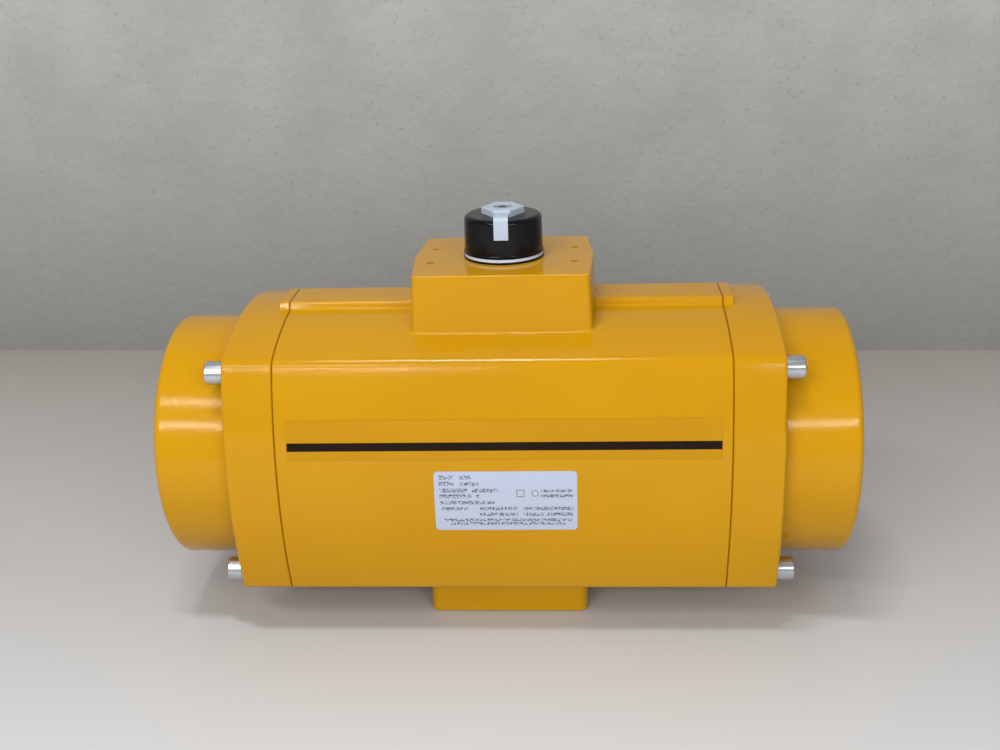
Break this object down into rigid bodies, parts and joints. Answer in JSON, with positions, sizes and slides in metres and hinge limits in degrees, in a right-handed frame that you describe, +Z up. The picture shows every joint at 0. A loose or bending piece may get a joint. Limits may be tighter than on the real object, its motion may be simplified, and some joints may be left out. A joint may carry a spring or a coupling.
{
  "type": "rotary pneumatic actuator",
  "caption": "Spring-return rack-and-pinion quarter-turn actuator with twin spring domes, accessory pad, position indicator and square valve foot.",
  "frame": {"origin": "centre of the valve flange face under the foot, on the pinion axis", "axes": "+X along the pistons towards the right-hand cap, -Y the labelled front, +Z up the pinion towards the indicator"},
  "size_m": [0.3832, 0.1846, 0.2294],
  "materials": {
    "yellow_paint": "glossy yellow-orange powder coat on die-cast aluminium, slight orange peel",
    "black_rubber": "nitrile seal",
    "zinc_steel": "bright zinc-plated steel",
    "stainless_steel": "turned stainless steel",
    "cast_aluminium": "bare die-cast aluminium",
    "plated_pinion_steel": "nickel-plated machined steel",
    "natural_polymer": "natural acetal bearing polymer",
    "spring_coating": "dark corrosion-resistant coating on spring steel",
    "black_plastic": "semi-gloss black moulded plastic",
    "grey_plastic": "pale grey moulded plastic",
    "clear_strip_film": "clear film over the yellow paint with one printed black bar",
    "silver_label": null
  },
  "bodies": {
    "housing": {"housing": "yellow_paint", "end_cap_left": "yellow_paint", "end_cap_right": "yellow_paint", "cap_seal_left": "black_rubber", "cap_seal_right": "black_rubber", "cap_screws_left": "zinc_steel", "cap_screws_right": "zinc_steel", "lock_washers_left": "zinc_steel", "lock_washers_right": "zinc_steel", "flat_washers_left": "zinc_steel", "flat_washers_right": "zinc_steel", "lower_bearing": "natural_polymer", "upper_bearing": "natural_polymer", "inner_thrust_washer": "natural_polymer", "top_thrust_washer": "black_plastic", "top_backing_washer": "stainless_steel", "closed_stop_screw": "stainless_steel", "open_stop_screw": "stainless_steel", "stop_lock_nuts": "stainless_steel", "stop_seal_washers": "zinc_steel", "strip_label": "clear_strip_film", "data_label": "silver_label", "spring_outer_left": "spring_coating", "spring_outer_right": "spring_coating", "spring_inner_left": "spring_coating", "spring_inner_right": "spring_coating"},
    "pinion": {"pinion": "plated_pinion_steel", "drive_insert": "cast_aluminium", "lower_pinion_oring": "black_rubber", "upper_pinion_oring": "black_rubber", "circlip": "stainless_steel", "indicator_cup": "black_plastic", "indicator_pointer": "grey_plastic", "indicator_screw": "stainless_steel"},
    "piston_left": {"piston_left": "cast_aluminium", "piston_oring_left": "black_rubber", "guide_band_left": "natural_polymer", "rack_guide_pad_left": "natural_polymer"},
    "piston_right": {"piston_right": "cast_aluminium", "piston_oring_right": "black_rubber", "guide_band_right": "natural_polymer", "rack_guide_pad_right": "natural_polymer"}
  },
  "joints": [
    {"name": "pinion_turn", "type": "hinge", "parent": "housing", "child": "pinion", "pos_m": [0, 0, 0.0945], "axis": [0, 0, 1], "range_deg": [0, 90], "stiffness_Nm_per_rad": 45, "springref_deg": -154.7},
    {"name": "piston_left_slide", "type": "slide", "parent": "housing", "child": "piston_left", "axis": [-1, 0, 0], "range_m": [0, 0.0425], "deforming": ["spring_outer_left", "spring_inner_left"]},
    {"name": "piston_right_slide", "type": "slide", "parent": "housing", "child": "piston_right", "axis": [1, 0, 0], "range_m": [0, 0.0425], "deforming": ["spring_outer_right", "spring_inner_right"]}
  ],
  "couplings": [
    {"joint": "piston_left_slide", "follows": "pinion_turn", "m_per_rad": 0.027},
    {"joint": "piston_right_slide", "follows": "pinion_turn", "m_per_rad": 0.027}
  ]
}
